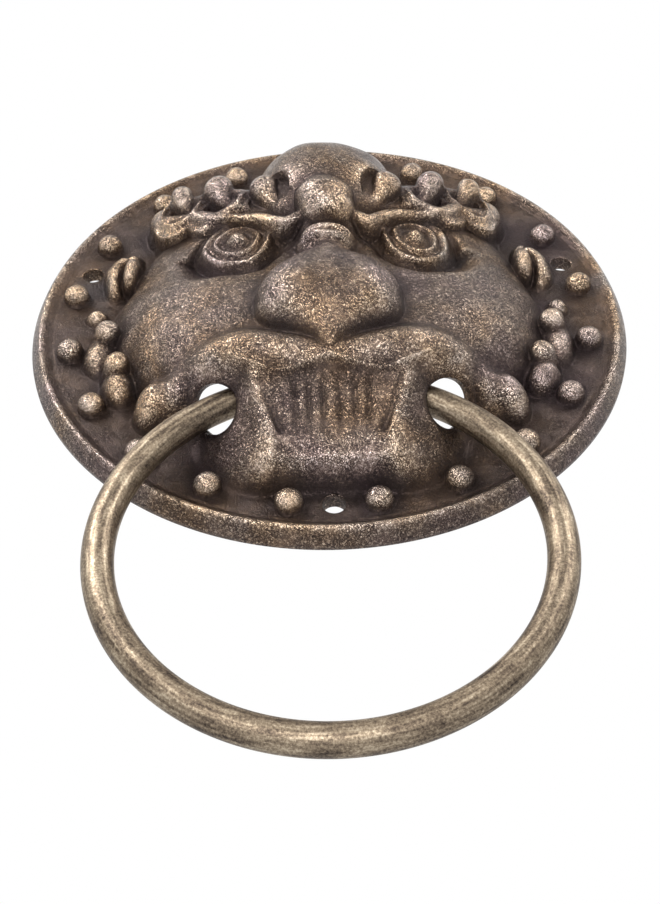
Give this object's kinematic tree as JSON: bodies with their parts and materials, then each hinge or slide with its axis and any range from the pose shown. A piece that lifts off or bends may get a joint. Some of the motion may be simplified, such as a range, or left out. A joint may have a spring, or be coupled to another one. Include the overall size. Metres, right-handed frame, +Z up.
{
  "type": "door knocker",
  "caption": "Round lion mask door knocker: a hollow cast plate with a raised lion face and studded rim, and a round ring that swings through the mouth.",
  "frame": {"origin": "centre of the round plate's flat back, where it lies on the door", "axes": "+X to the viewer's right, +Z up as it hangs on the door, front of the mask towards -Y"},
  "size_m": [0.12, 0.0274, 0.1676],
  "materials": {
    "cast_bronze": "aged dark antique, rough cast",
    "ring_brass": "aged antique, brushed by handling"
  },
  "bodies": {
    "mask": {"mask_plate": "cast_bronze"},
    "ring": {"knocker_ring": "ring_brass"}
  },
  "joints": [
    {"name": "ring_swing", "type": "hinge", "parent": "mask", "child": "ring", "pos_m": [0, -0.0089, -0.03262], "axis": [-1, 0, 0], "range_deg": [-4, 80]}
  ]
}
